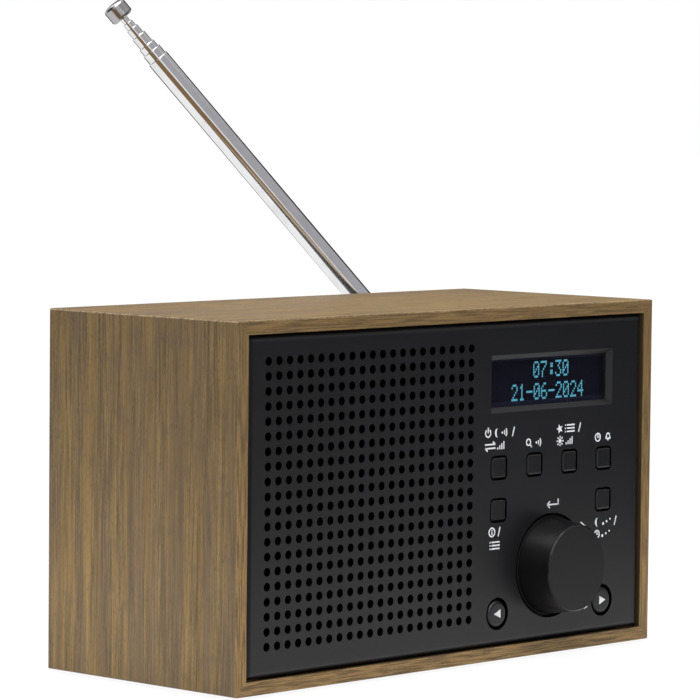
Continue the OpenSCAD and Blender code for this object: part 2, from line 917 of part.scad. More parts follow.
module main_board() {
    color("darkgreen")
        union() {
            difference() {
                translate([-main_w / 2, main_front_y, main_z]) cube([main_w, main_d, pcb_t]);
                for (p = main_holes)
                    translate([p[0], p[1], main_z - 1]) cylinder(d = clear_d, h = pcb_t + 2);
            }
            // header for the ribbon cable
            translate([header_x - header_w / 2, header_y - header_d / 2, main_top_z])
                cube([header_w, header_d, header_t]);
            // terminal for the speaker lead
            translate([lead_x - lead_block / 2, lead_y - lead_block / 2, main_top_z])
                cube([lead_block, lead_block, lead_block]);
            // shielded tuner, and two capacitors beside it
            translate([tuner_x - tuner[0] / 2, main_back_y - tuner[1] - 4, main_top_z]) cube(tuner);
            for (k = [0, 1])
                translate([tuner_x + tuner[0] / 2 + capacitor_d * (1 + 1.4 * k), main_back_y - 10, main_top_z])
                    cylinder(d = capacitor_d, h = capacitor_h);
        }
}

module dc_socket() {
    color([0.1, 0.1, 0.1])
        translate([dc_x, 0, dc_z])
            difference() {
                union() {
                    translate([-dc_w / 2, back_inner_y - 13, -dc_h / 2]) cube([dc_w, 13, dc_h]);
                    bar(dc_d + 2 * snout_wall, back_inner_y - eps, snout_end_y);
                }
                difference() {
                    bar(dc_d, snout_end_y - dc_depth, snout_end_y + 1);
                    bar(dc_pin_d, snout_end_y - dc_depth - 1, snout_end_y - 1);
                }
            }
}

module headphone_socket() {
    color([0.1, 0.1, 0.1])
        translate([jack_x, 0, jack_z])
            difference() {
                union() {
                    translate([-jack_w / 2, back_inner_y - jack_back, -jack_h / 2 - 0.5])
                        cube([jack_w, jack_back, jack_h + 1]);
                    bar(jack_d + 2 * snout_wall, back_inner_y - eps, snout_end_y);
                }
                bar(jack_d, snout_end_y - jack_depth, snout_end_y + 1);
            }
}

// Flat cable from the control board's header down to the main board's
module ribbon_cable() {
    y0 = board_back_y + header_t;
    color("lightgray")
        translate([header_x + ribbon_w / 2, 0, 0])
            rotate([0, -90, 0])
                linear_extrude(ribbon_w)
                    union() {
                        translate([header_z - ribbon_t / 2, y0]) square([ribbon_t, header_y + ribbon_t / 2 - y0]);
                        translate([main_top_z + header_t, header_y - ribbon_t / 2])
                            square([header_z + ribbon_t / 2 - main_top_z - header_t, ribbon_t]);
                    }
}

// Twin lead from the back of the speaker's terminal strip, round one bend and down to the main board
module speaker_lead() {
    color("firebrick")
        translate([lead_x, 0, 0])
            union() {
                translate([0, 0, grille_z]) bar(lead_d, basket_back_y, lead_y - lead_bend);
                translate([0, lead_y - lead_bend, grille_z - lead_bend])
                    rotate([0, -90, 0])
                        rotate_extrude(angle = 90) translate([lead_bend, 0]) circle(d = lead_d);
                translate([0, lead_y, main_top_z + lead_block])
                    cylinder(d = lead_d, h = grille_z - lead_bend - main_top_z - lead_block);
            }
}

// ---------------------------------------------------------------- back

module back_panel() {
    color([0.1, 0.1, 0.11])
        difference() {
            slab(back_inner_y, back_y)
                translate([0, mid_z]) rounded_rect(panel_w, panel_h, 1);
            for (side = [-1, 1], z = batten_posts_z)
                at(side * batten_gap_x, z) {
                    bar(clear_d, back_inner_y - 1, back_y + 1);
                    bar(screw_head_d + 2 * fit_gap, back_y - screw_head_t, back_y + 1);
                }
            at(dc_x, dc_z) bar(dc_d + 2 * snout_wall + 2 * fit_gap, back_inner_y - 1, back_y + 1);
            at(jack_x, jack_z) bar(jack_d + 2 * snout_wall + 2 * fit_gap, back_inner_y - 1, back_y + 1);
            at(pivot[0], pivot[2]) bar(stub_d + 2 * fit_gap, back_inner_y - 1, back_y + 1);
        }
}

module back_screws() {
    color("silver")
        for (side = [-1, 1], z = batten_posts_z)
            at(side * batten_gap_x, z)
                difference() {
                    union() {
                        bar(screw_d, back_inner_y - back_screw_l, back_y - screw_head_t + eps);
                        bar(screw_head_d, back_y - screw_head_t, back_y);
                    }
                    for (a = [0, 90])
                        rotate([0, a, 0])
                            translate([-1.4, back_y - 0.8, -0.3]) cube([2.8, 2, 0.6]);
                }
}

// ---------------------------------------------------------------- antenna

module antenna_bracket() {
    color([0.1, 0.1, 0.11])
        at(pivot[0], pivot[2])
            turned(back_y)
                polygon([[stub_d / 2 + stub_slip, 0], [bracket_d / 2, 0], [bracket_d / 2, 1],
                    [swivel_d / 2, bracket_y - back_y], [stub_d / 2 + stub_slip, bracket_y - back_y]]);
}

// Places what turns with the swivel
module swung() {
    translate(pivot) rotate([0, -swing, 0]) children();
}

// Places what also folds with the rod
module folded() {
    swung() rotate([-fold, 0, 0]) children();
}

// A bar across the rod, along the hinge pin
module cross_bar(d, l) {
    rotate([0, 90, 0]) cylinder(d = d, h = l, center = true);
}

module antenna_swivel() {
    gap = tang_t + 2 * ear_slip;
    wide = gap + 2 * ear_t;
    color("silver")
        swung()
            difference() {
                union() {
                    bar(swivel_d, -swivel_top - swivel_t, -swivel_top);
                    difference() {
                        union() {
                            cross_bar(2 * ear_r, wide);
                            translate([-wide / 2, -swivel_top - eps, -ear_r])
                                cube([wide, swivel_top + eps, 2 * ear_r]);
                        }
                        translate([-gap / 2, -swivel_top, -10]) cube([gap, 20, 20]);
                    }
                    bar(stub_d, back_inner_y - fit_gap - pivot[1], -swivel_top - swivel_t + eps);
                }
                cross_bar(pin_d + 2 * screw_slip, 20);
                bar(swivel_screw_d + 2 * screw_slip, back_inner_y - 1 - pivot[1], -swivel_top - 1);
            }
}

module antenna_swivel_screw() {
    color("silver")
        swung() {
            bar(swivel_screw_d, back_inner_y - fit_gap - pivot[1], -swivel_top - 1.4);
            bar(swivel_head_d, back_inner_y - fit_gap - swivel_head_t - pivot[1],
                back_inner_y - fit_gap - pivot[1]);
        }
}

module antenna_hinge_pin() {
    wide = tang_t + 2 * ear_slip + 2 * ear_t;
    color("gainsboro")
        swung() {
            cross_bar(pin_d, wide);
            for (side = [-1, 1])
                translate([side * (wide + pin_head_t) / 2, 0, 0]) cross_bar(pin_d * 1.6, pin_head_t);
        }
}

function sum_to(i) = i == 0 ? steps[0] : steps[i] + sum_to(i - 1);
function mouth(i) = outer_reach + sum_to(i);
function section_d(i) = tube_d - i * tube_step;
function floor_z(i) = tube_floor + i * floor_step;

// One tube of the antenna: open bore, rolled mouth
module tube(i) {
    r = section_d(i) / 2;
    translate([0, 0, floor_z(i)])
        rotate_extrude()
            difference() {
                union() {
                    square([r, mouth(i) - floor_z(i) - mouth_r]);
                    square([r - mouth_r, mouth(i) - floor_z(i)]);
                    translate([r - mouth_r, mouth(i) - floor_z(i) - mouth_r]) circle(mouth_r);
                }
                translate([-1, i == 0 ? tube_floor_t : -1])
                    square([r - tube_wall + 1, mouth(i) + 5]);
            }
}

module antenna_section_1() {
    color("lightgray")
        folded() {
            difference() {
                union() {
                    cross_bar(tang_w, tang_t);
                    translate([-tang_t / 2, -tang_w / 2, 0]) cube([tang_t, tang_w, tube_floor - 2.5]);
                    translate([0, 0, tube_floor - 3.4])
                        cylinder(d1 = tang_w, d2 = tube_d, h = 1);
                    translate([0, 0, tube_floor - 2.4 - eps]) cylinder(d = tube_d, h = 2.4 + 2 * eps);
                }
                cross_bar(pin_d + 2 * pin_slip, 20);
            }
            tube(0);
        }
}

module antenna_section(i) {
    color("lightgray") folded() tube(i);
}

// The last section is a solid rod
module antenna_section_7() {
    color("lightgray")
        folded()
            translate([0, 0, floor_z(6)]) cylinder(d = section_d(6), h = mouth(6) - floor_z(6));
}

// Tip: straight side between two rounded edges, under a low dome that runs into the upper one
module antenna_tip() {
    r = tip_d / 2;
    edge = tip_edge_r;
    ball = 3.2 * r;
    upper = tip_l - ball + sqrt(pow(ball - edge, 2) - pow(r - edge, 2));
    reach = ball / (ball - edge);
    dome_x = (r - edge) * reach;
    dome_z = tip_l - ball + (upper - tip_l + ball) * reach;
    color("lightgray")
        folded()
            translate([0, 0, mouth(6)])
                rotate_extrude()
                    union() {
                        polygon([[0, 0], [r - edge, 0], [r, edge], [r, upper], [dome_x, dome_z], [0, dome_z]]);
                        translate([r - edge, edge]) circle(edge);
                        translate([r - edge, upper]) circle(edge);
                        intersection() {
                            translate([0, tip_l - ball]) circle(ball, $fn = 96);
                            translate([0, dome_z - eps]) square([dome_x, tip_l]);
                        }
                    }
}

// ---------------------------------------------------------------- nodes

cabinet_top();
cabinet_bottom();
cabinet_left();
cabinet_right();
cabinet_battens();
feet();
front_panel();
display_lens();
lcd_glass();
lcd_frame();
control_board();
switch_bodies();
encoder_body();
encoder_rotor();
encoder_shaft();
knob();
for (k = [0:len(key_list) - 1]) {
    key(k);
    plunger(k);
}
speaker_basket();
speaker_cone();
speaker_surround();
speaker_dust_cap();
speaker_magnet();
speaker_screws();
panel_screws();
board_screws();
main_board();
board_standoffs();
dc_socket();
headphone_socket();
ribbon_cable();
speaker_lead();
back_panel();
back_screws();
antenna_bracket();
antenna_swivel();
antenna_swivel_screw();
antenna_hinge_pin();
antenna_section_1();
for (i = [1:5])
    antenna_section(i);
antenna_section_7();
antenna_tip();
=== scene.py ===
"""Tabletop radio: finishes, printed marks, lit display and stage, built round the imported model."""
import math

import bmesh
import bpy
from bpy.props import (FloatProperty, FloatVectorProperty, IntProperty, PointerProperty,
                       StringProperty)
from bpy.types import Operator, Panel, PropertyGroup
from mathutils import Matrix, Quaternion, Vector


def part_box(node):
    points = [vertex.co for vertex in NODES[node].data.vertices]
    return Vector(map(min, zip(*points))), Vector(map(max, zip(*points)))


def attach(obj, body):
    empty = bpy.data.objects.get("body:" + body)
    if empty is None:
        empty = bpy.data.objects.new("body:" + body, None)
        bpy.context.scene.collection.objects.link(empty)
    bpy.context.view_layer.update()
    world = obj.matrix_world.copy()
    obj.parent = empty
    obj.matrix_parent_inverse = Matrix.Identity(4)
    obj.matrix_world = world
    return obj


bl_info = {
    "name": "Tabletop Radio",
    "version": (1, 0, 0),
    "blender": (4, 5, 0),
    "location": "View3D > Sidebar > Radio",
    "description": "Finishes, printed marks, lit display and stage of a tabletop radio",
    "category": "Object",
}

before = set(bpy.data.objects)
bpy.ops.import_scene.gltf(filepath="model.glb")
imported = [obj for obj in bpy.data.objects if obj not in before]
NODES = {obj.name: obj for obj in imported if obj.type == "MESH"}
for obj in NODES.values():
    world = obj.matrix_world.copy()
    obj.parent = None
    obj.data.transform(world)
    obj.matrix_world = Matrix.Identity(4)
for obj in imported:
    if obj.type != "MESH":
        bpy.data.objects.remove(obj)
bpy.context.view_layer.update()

MM = 0.001
PRINT_T = 0.02 * MM  # thickness of the print and of the lit dots
BARE_BOARD = 1.7  # a bare circuit board and its solder, in millimetres
KEYS = ["standby", "scan", "preset", "alarm", "info", "sleep", "previous", "next"]
SECTIONS = 7  # tubes of the antenna
ARROWS = {"previous": -1, "next": 1}  # round keys with an arrow, and the side it points to
PANEL_RIM = 3.0  # width of the front panel's rim without holes, in millimetres
RIM_ABOVE, RIM_BELOW = 6.2, 5.7  # from the display's middle to its paler rim, in millimetres

BLACK = (0.0, 0.0, 0.0)
WHITE = (1.0, 1.0, 1.0)
# the knob's face, paler than its side as painted sheen
KNOB_FACE_SHEEN = (0.0088, 0.0088, 0.0095)
LAMP_GLOW = (4.0, 4.0, 4.1)
FLOOR_GLOW = 1.03  # strength at which the floor comes out white
GLOW_ONLY = {"Specular IOR Level": 0.0, "Base Color": (*BLACK, 1.0), "Emission Strength": 1.0}

CAMERA_PLACE = (-0.882589, -0.837763, 0.174856)
CAMERA_AHEAD = (0.72189, 0.68863, -0.06832)
CAMERA_ROLL = 0.5616  # degrees
SENSOR = 36.0  # width of the camera's sensor, in millimetres
LAMPS_AIM = Vector((0.0, 0.0, 0.05))
CARDS_AIM = Vector((0.0, 0.0, 0.12))


# ---------------------------------------------------------------- settings


def colour(name, description, default):
    """A colour that a user can change."""
    return FloatVectorProperty(name=name, description=description, default=default,
                               subtype="COLOR", min=0.0, max=1.0)


def length(name, description, millimetres):
    """A size that a user can change."""
    return FloatProperty(name=name, description=description, default=millimetres * MM,
                         unit="LENGTH", min=0.0, precision=5)


def power(name, description, watts):
    """The power of a lamp that a user can change."""
    return FloatProperty(name=name, description=description, default=watts, unit="POWER", min=0.0)


class RadioCabinetSettings(PropertyGroup):
    """Colours and grain of the wooden cabinet."""

    light: colour("Light grain", "The paler streaks of the veneer", (0.194, 0.129, 0.051))
    dark: colour("Dark grain", "The darker streaks of the veneer", (0.064, 0.041, 0.017))
    plum: colour("Plum bands", "The cool bands between the streaks", (0.084, 0.059, 0.041))
    amber: colour("Amber bands", "The warm bands between the streaks", (0.194, 0.118, 0.037))
    edge: colour("Front edges", "The tone of the boards' front edges", (0.294, 0.180, 0.066))
    # painted highlight along the arrises where two faces meet
    arris_highlight: colour("Arris highlight", "The pale line where two faces meet", (0.600, 0.480, 0.330))
    grain_width: length("Grain width", "Width of one fine streak", 0.42)
    grain_length: length("Grain length", "Length of one fine streak", 18.0)


class RadioPanelSettings(PropertyGroup):
    """Colours of the moulded front, its keys and its print."""

    black: colour("Panel", "Moulded front panel", (0.0034, 0.0036, 0.0046))
    key_black: colour("Keys", "Moulded keys", (0.0032, 0.0034, 0.0042))
    knob_black: colour("Knob", "Moulded knob", (0.0020, 0.0021, 0.0026))
    print_white: colour("Print", "Screen print beside the keys", (0.66, 0.67, 0.70))
    stroke: length("Stroke", "Width of the printed strokes", 0.46)
    sign: FloatProperty(name="Sign size", description="Size of the printed signs",
                        default=1.15, min=0.1)


class RadioDisplaySettings(PropertyGroup):
    """What the display shows, and its colours."""

    upper: StringProperty(name="Upper line", description="Digits on the upper line",
                          default="07:30")
    lower: StringProperty(name="Lower line", description="Digits on the lower line",
                          default="21-06-2024")
    glow: colour("Dots", "Colour of a lit dot", (0.150, 0.580, 0.720))
    navy: colour("Glass", "Colour of the unlit display", (0.0068, 0.0068, 0.0130))
    dot_w: length("Dot width", "Width of one dot", 0.42)
    dot_h: length("Dot height", "Height of one dot", 0.58)
    pitch_w: length("Dot pitch", "Spacing of the dots along a line", 0.56)
    pitch_h: length("Row pitch", "Spacing of the rows of dots", 0.72)
    character: length("Character pitch", "Spacing of the characters", 3.37)
    line: length("Line pitch", "Spacing of the two lines", 6.6)


class RadioAntennaSettings(PropertyGroup):
    """Finish of the antenna."""

    chrome: colour("Chrome", "Plated tubes", (0.77, 0.77, 0.78))
    tip: colour("Tip", "Duller plating of the tip", (0.42, 0.41, 0.41))
    roughness: FloatProperty(name="Roughness", description="Roughness of the plating",
                             default=0.07, min=0.0, max=1.0, subtype="FACTOR")


class RadioStageSettings(PropertyGroup):
    """Floor, light and camera."""

    floor: colour("Floor", "Pale floor under and around the radio", (0.90, 0.90, 0.90))
    room: colour("Room", "Warm flat that the chrome shows", (0.26, 0.165, 0.085))
    screen: colour("Screen", "Grey flats beside the camera, seen in the chrome", (0.44, 0.44, 0.46))
    dark: colour("Dark flats", "Flats that the black front and the tubes' edges show",
                 (0.045, 0.048, 0.055))
    pool: length("Pale floor radius", "How far the pale floor reaches round the radio", 300.0)
    sky: FloatProperty(name="Sky", description="Even light from all sides", default=0.45, min=0.0)
    low_light: power("Low light", "Power of the small light beside the floor", 0.045)
    key_light: power("Key light", "Power of the large soft light", 11.0)
    top_light: power("Top light", "Power of the small light above the radio", 2.4)
    gloss_light: power("Gloss light", "Power of the lamp that only gloss shows", 11.5)
    lens: FloatProperty(name="Lens", description="Focal length", default=209.17, min=1.0,
                        subtype="DISTANCE_CAMERA", unit="CAMERA")
    spread: IntProperty(name="Floor size", description="Side of the floor in metres",
                        default=12, min=1)


# ---------------------------------------------------------------- shader helpers


def times(tone, factor):
    """A colour made darker or lighter."""
    return [c * factor for c in tone]


def even(size):
    """The same size along all three axes."""
    return (size, size, size)


class Value:
    """One output of a node, which works in Python expressions."""

    def __init__(self, nodes, socket):
        self.nodes = nodes
        self.socket = socket

    def maths(self, operation, *values):
        """The result of one Math node on sockets or plain numbers."""
        return self.nodes.node("ShaderNodeMath", {"operation": operation}, dict(enumerate(values)))

    def __add__(self, other):
        return self.maths("ADD", self, other)

    def __sub__(self, other):
        return self.maths("SUBTRACT", self, other)

    def __rsub__(self, other):
        return self.maths("SUBTRACT", other, self)

    def __mul__(self, other):
        return self.maths("MULTIPLY", self, other)

    def __truediv__(self, other):
        return self.maths("DIVIDE", self, other)

    __radd__ = __add__
    __rmul__ = __mul__

    def rise(self, low, high):
        """0 below low, 1 above high and smooth between; high may be the smaller one."""
        return self.nodes.node("ShaderNodeMapRange", {"interpolation_type": "SMOOTHSTEP"},
                               {"Value": self, "From Min": low, "From Max": high})

    def between(self, low, high, soft):
        """1 between low and high, and 0 outside them, with soft ends inside the two."""
        return self.rise(low, low + soft) * self.rise(high, high - soft)


class Nodes:
    """A node tree of a material or of the world, and what is added to it."""

    def __init__(self, tree):
        self.tree = tree

    def node(self, kind, settings=None, sockets=None, output=0):
        """Adds a node: first its settings, then the values or links of its sockets."""
        node = self.tree.nodes.new(kind)
        for name, value in (settings or {}).items():
            setattr(node, name, value)
        for name, value in (sockets or {}).items():
            if isinstance(value, Value):
                self.tree.links.new(value.socket, node.inputs[name])
            else:
                node.inputs[name].default_value = value
        return Value(self, node.outputs[output])

    def seen(self):
        """1 where the camera, metal and glass look, 0 where light falls on the pieces."""
        camera, gloss, glass = [
            self.node("ShaderNodeLightPath", output=f"Is {kind} Ray")
            for kind in ("Camera", "Glossy", "Transmission")]
        return camera.maths("MAXIMUM", camera.maths("MAXIMUM", camera, gloss), glass)


class Finish(Nodes):
    """One material: a Principled shader and the nodes that feed it."""

    def __init__(self, name, constants=None):
        self.material = bpy.data.materials.new(name)
        self.material.use_nodes = True
        super().__init__(self.material.node_tree)
        self.shader = self.tree.nodes["Principled BSDF"]
        for socket, value in (constants or {}).items():
            self.shader.inputs[socket].default_value = value

    def feed(self, socket, value):
        """Links a value to a socket of the Principled shader."""
        self.tree.links.new(value.socket, self.shader.inputs[socket])

    def place(self, scale=(1.0, 1.0, 1.0), shift=(0.0, 0.0, 0.0)):
        """Object coordinates, stretched by scale and moved by shift."""
        where = self.node("ShaderNodeTexCoord", output="Object")
        return self.node("ShaderNodeMapping", {"vector_type": "POINT"},
                         {"Vector": where, "Scale": scale, "Location": shift})

    def axis(self, letter):
        """One object coordinate, in millimetres."""
        parts = {"Vector": self.place()}
        return self.node("ShaderNodeSeparateXYZ", sockets=parts, output=letter) * (1 / MM)

    def distance(self):
        """The distance from the object's middle, in metres."""
        return self.node("ShaderNodeVectorMath", {"operation": "LENGTH"}, {0: self.place()},
                         output="Value")

    def noise(self, size, shift=0.0, detail=2.0, roughness=0.5):
        """Noise about 0.5, whose lumps measure size, given as x, y and z in millimetres."""
        scale = [1 / (s * MM) for s in size]
        return self.node("ShaderNodeTexNoise", sockets={
            "Vector": self.place(scale, (shift, shift, shift)), "Scale": 1.0, "Detail": detail,
            "Roughness": roughness})

    def mix(self, share, first, second):
        """A colour between two others."""
        first, second = [c if isinstance(c, Value) else (*c[:3], 1.0) for c in (first, second)]
        return self.node("ShaderNodeMix", {"data_type": "RGBA"},
                         {0: share, 6: first, 7: second}, output=2)

    def bump(self, height, depth):
        """Raises the surface by depth millimetres where height is 1."""
        sockets = {"Height": height, "Distance": depth * MM}
        self.feed("Normal", self.node("ShaderNodeBump", sockets=sockets))


def paint(finish, *names):
    """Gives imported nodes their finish."""
    for name in names:
        for slot in NODES[name].material_slots:
            slot.material = finish.material


# ---------------------------------------------------------------- finishes


def wood(name, grain_axis, look):
    """Oiled veneer, whose grain runs along one axis, with the boards' edges, painted shade on their
    inner faces and a painted highlight along the arrises.
    """
    finish = Finish(name, {"Specular IOR Level": 0.33})

    def streaks(across, along, shift, detail, low, high):
        """Streaks of so many grain widths and grain lengths: 0 below low and 1 above high."""
        size = [look.grain_width / MM * across] * 3
        size["XYZ".index(grain_axis)] = look.grain_length / MM * along
        return finish.noise(size, shift, detail).rise(low, high)

    # widths across, lengths along, shift, detail and the range of noise that is used
    fine = streaks(1.0, 1.0, 0.0, 1.0, 0.36, 0.64)
    wide = streaks(2.6, 3.0, 13.0, 2.0, 0.38, 0.62)
    short = streaks(0.8, 0.08, 7.0, 2.0, 0.36, 0.64)
    pores = streaks(0.6, 0.12, 19.0, 1.0, 0.60, 0.72)
    band = streaks(17.0, 9.0, 3.0, 3.0, 0.45, 0.62)
    warm = streaks(9.0, 6.0, 11.0, 2.0, 0.45, 0.62)
    shade = streaks(8.0, 5.0, 41.0, 2.0, 0.44, 0.60)
    wavy = streaks(1.0, 0.7, 23.0, 2.0, 0.39, 0.59)
    figure = finish.noise(even(6.0), 29.0, 3.0).rise(0.52, 0.68)
    tone = finish.mix(fine * 0.60 + wide * 0.20 + short * 0.22, look.dark, look.light)
    for share, other in ((warm * 0.54, look.amber), (band * 0.42, look.plum),
                         (figure * 0.32, look.plum), (shade * 0.22, look.dark),
                         (pores * 0.40, times(look.dark, 0.45))):
        tone = finish.mix(share, tone, other)

    low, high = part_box("cabinet_left")[0] / MM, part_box("cabinet_right")[1] / MM
    side, deep, tall = finish.axis("X"), finish.axis("Y"), finish.axis("Z")
    across = side.maths("ABSOLUTE", side)

    # the boards' solid front edges, darker towards the top
    front = deep.rise(low.y + 0.45, low.y + 0.15)
    edge_dark = times(look.edge, 0.26)
    edge_tone = finish.mix(wavy * 0.80 + short * 0.20, edge_dark, look.edge)
    edge_tone = finish.mix(tall.rise(low.z, high.z) * 0.50, edge_tone, edge_dark)
    tone = finish.mix(front * 0.85, tone, edge_tone)

    # painted shade on the boards' inner faces
    inner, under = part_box("cabinet_right")[0].x / MM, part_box("cabinet_top")[0].z / MM
    inside = across.rise(inner + 0.05, inner - 0.02) * tall.rise(under + 0.05, under - 0.02)
    inside = inside.rise(0.4, 0.6) * (1 - front)
    tone = finish.mix(inside * 0.82, tone, times(look.dark, 0.3))

    # a painted highlight along the arrises where two faces meet, pale and broken up by noise
    near_side = across.rise(high.x - 0.40, high.x - 0.10)
    near_top = tall.rise(high.z - 0.40, high.z - 0.10)
    near_front = deep.rise(low.y + 0.50, low.y + 0.15)
    highlight_breaks = finish.noise(even(0.9), 31.0, 2.0).rise(0.42, 0.58)
    arris = near_top * near_side + near_top * near_front * 0.45 + near_side * near_front * 0.1
    tone = finish.mix(arris * (0.03 + highlight_breaks * 0.32), tone, look.arris_highlight)

    finish.feed("Base Color", tone)
    finish.feed("Roughness", 0.56 + pores * 0.2 - fine * 0.08)
    finish.bump(fine * 0.3 + short * 0.4 - pores * 0.8, 0.02)
    return finish


def softwood(name):
    """Planed softwood, whose rings run upright."""
    finish = Finish(name)
    rings = finish.noise((2.2, 2.2, 60.0), 0.0, 3.0)
    finish.feed("Base Color", finish.mix(rings.rise(0.35, 0.65), (0.34, 0.22, 0.11),
                                         (0.56, 0.41, 0.24)))
    finish.feed("Roughness", 0.6 + rings * 0.2)
    finish.bump(rings, 0.05)
    return finish


def moulded(name, black, rough=0.42, texture=0.16, depth=0.006, level=0.47, change=None):
    """Moulded plastic with a fine satin texture; change alters it from place to place."""
    finish = Finish(name, {"Specular IOR Level": level})
    grit = finish.noise(even(texture), 0.0, 2.0)
    cloud = finish.noise(even(9.0), 5.0, 2.0)
    tone = finish.mix(grit.rise(0.3, 0.7), times(black, 0.80), times(black, 1.22))
    satin = rough + (grit - 0.5) * 0.16 + (cloud - 0.5) * 0.08
    if change:
        tone, satin = change(finish, tone, satin)
    finish.feed("Base Color", tone)
    finish.feed("Roughness", satin)
    finish.bump(grit, depth)
    return finish


def knob_zones(finish, tone, satin):
    """Gives the knob a paler face as painted sheen, a glossier lip behind it and a foot in the panel
    painted black as shade.
    """
    face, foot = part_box("knob")[0].y / MM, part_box("front_panel")[0].y / MM + 0.05
    back = finish.axis("Y")
    lip = back.rise(face + 0.003, face + 0.03) * back.rise(face + 0.7, face + 0.5)
    behind_lip = back.rise(face + 0.5, face + 0.7)
    satin = satin - lip * 0.22 - behind_lip * 0.03
    # painted sheen: the face is paler than the side, making up for the knob's low specular level
    tone = finish.mix(back.rise(face + 0.10, face + 0.02), tone, KNOB_FACE_SHEEN)
    # painted shade: the foot inside the panel's well turns black and duller
    hollow = back.rise(foot, foot + 0.1)
    return finish.mix(hollow * 0.7, tone, BLACK), satin + hollow * 0.4


def panel_zones(finish, tone, satin):
    """Paints shade into the panel: black walls in its holes and a darker left rim."""
    low, high = [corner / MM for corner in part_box("front_panel")]
    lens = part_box("display_lens")[0] / MM
    side, back, tall = finish.axis("X"), finish.axis("Y"), finish.axis("Z")
    within = (side.between(low.x + PANEL_RIM, high.x - PANEL_RIM, 1.0)
              * tall.between(low.z + PANEL_RIM, high.z - PANEL_RIM, 1.0))
    # painted shade: all the holes have black walls, but for the display's window with its bevel
    window = side.rise(lens.x - 4.0, lens.x - 3.0) * tall.rise(lens.z - 4.0, lens.z - 3.0)
    thick = back.rise(high.y + 0.4, high.y + 0.2)
    hole_shade = back.rise(low.y + 0.08, low.y + 0.20) * thick * within * (1 - window)
    # painted shade: the left rim comes out darker
    left_rim_shade = side.rise(low.x + 2.3, low.x + 1.6) * 0.42
    # painted shade: metal as black as this gives back next to no light
    finish.feed("Metallic", hole_shade * 0.9 + left_rim_shade * thick)
    return finish.mix(hole_shade, tone, BLACK), satin


def metal(name, tone, rough, brushed=0.3, uneven=0.8):
    """Plain or plated metal: fine unevenness and a few dull stains."""
    finish = Finish(name, {"Metallic": 1.0})
    lines = finish.noise(even(brushed), 0.0, 2.0)
    stain = finish.noise(even(6.0), 4.0, 3.0).rise(0.45, 0.75)
    finish.feed("Base Color", finish.mix(stain, tone, times(tone, 0.90)))
    finish.feed("Roughness", rough + (lines - 0.5) * rough * uneven + stain * rough * 0.4)
    return finish


def rubber(name, tone):
    """Matt rubber, a little dusty."""
    finish = Finish(name, {"Specular IOR Level": 0.25})
    dust = finish.noise(even(0.7), 0.0, 4.0)
    dusty = [c * 1.5 + 0.01 for c in tone]
    finish.feed("Base Color", finish.mix(dust.rise(0.45, 0.75), tone, dusty))
    finish.feed("Roughness", 0.72 + dust * 0.2)
    finish.bump(dust, 0.01)
    return finish


def circuit_board(name, top_axis, top):
    """Solder mask over copper traces; what stands past top millimetres is black plastic."""
    finish = Finish(name)
    cell = 3.2 * MM
    cells = finish.node("ShaderNodeTexVoronoi",
                        {"feature": "DISTANCE_TO_EDGE", "distance": "MANHATTAN"},
                        {"Vector": finish.place(even(1 / cell)), "Scale": 1.0, "Randomness": 0.7})
    traces = cells.rise(0.10, 0.06)
    grit = finish.noise(even(0.5), 0.0, 2.0)
    mask = finish.mix(traces * 0.8, (0.008, 0.075, 0.028), (0.020, 0.150, 0.055))
    fitted = finish.axis(top_axis).rise(top, top + 0.1)
    finish.feed("Base Color", finish.mix(fitted, mask, (0.020, 0.020, 0.022)))
    finish.feed("Roughness", 0.34 + fitted * 0.2 + grit * 0.1)
    finish.bump(traces * (1 - fitted), 0.03)
    return finish


def ink(name, tone):
    """Screen print, a little uneven."""
    finish = Finish(name, {"Roughness": 0.55})
    speck = finish.noise(even(0.08), 0.0, 2.0)
    finish.feed("Base Color", finish.mix(speck.rise(0.3, 0.7), times(tone, 0.86), tone))
    finish.bump(speck, 0.002)
    return finish


def paper(name):
    """Pressed paper pulp of the speaker's cone."""
    finish = Finish(name, {"Specular IOR Level": 0.2})
    pulp = finish.noise(even(0.9), 0.0, 5.0, 0.7)
    finish.feed("Base Color", finish.mix(pulp.rise(0.35, 0.7), (0.028, 0.028, 0.030),
                                         (0.060, 0.058, 0.058)))
    finish.feed("Roughness", 0.8 + pulp * 0.15)
    finish.bump(pulp, 0.06)
    return finish


# ---------------------------------------------------------------- modelling helpers


def middle_of(node):
    """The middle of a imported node."""
    low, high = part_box(node)
    return (low + high) / 2


def add_plane(size, height=0.0):
    """A level square about the upright axis, and the only object selected."""
    bpy.ops.object.select_all(action="DESELECT")
    bpy.ops.mesh.primitive_plane_add(size=size, location=(0.0, 0.0, height))
    return bpy.context.object


def start_sheet():
    """Opens an empty mesh in edit mode, for flat shapes that face the front."""
    add_plane(1.0)
    bpy.ops.object.mode_set(mode="EDIT")
    bpy.ops.mesh.delete(type="VERT")


def end_sheet(name, body, finish):
    """Closes the sheet, gives it its thickness towards the front and hangs it on its body."""
    bpy.ops.object.mode_set(mode="OBJECT")
    sheet = bpy.context.object
    sheet.name = sheet.data.name = name
    solid = sheet.modifiers.new("thickness", "SOLIDIFY")
    solid.thickness = PRINT_T
    solid.offset = 1.0
    bpy.ops.object.modifier_apply(modifier=solid.name)
    bpy.ops.object.transform_apply(location=True, rotation=True, scale=True)
    sheet.data.materials.append(finish.material)
    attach(sheet, body)


def flat(point, width, height, turn=0.0):
    """An upright rectangle that faces the front, turned counter-clockwise by turn radians."""
    bpy.ops.mesh.primitive_plane_add(size=1.0, location=point,
                                     rotation=(math.pi / 2, 0.0, 0.0))
    bpy.ops.transform.resize(value=(width, 1.0, height), center_override=point)
    if turn:
        bpy.ops.transform.rotate(value=turn, orient_axis="Y", center_override=point)


def polygon(point, radius, corners, turn=0.0):
    """An upright polygon or disc that faces the front."""
    bpy.ops.mesh.primitive_circle_add(vertices=corners, radius=radius, fill_type="NGON",
                                      location=point, rotation=(math.pi / 2, -turn, 0.0))


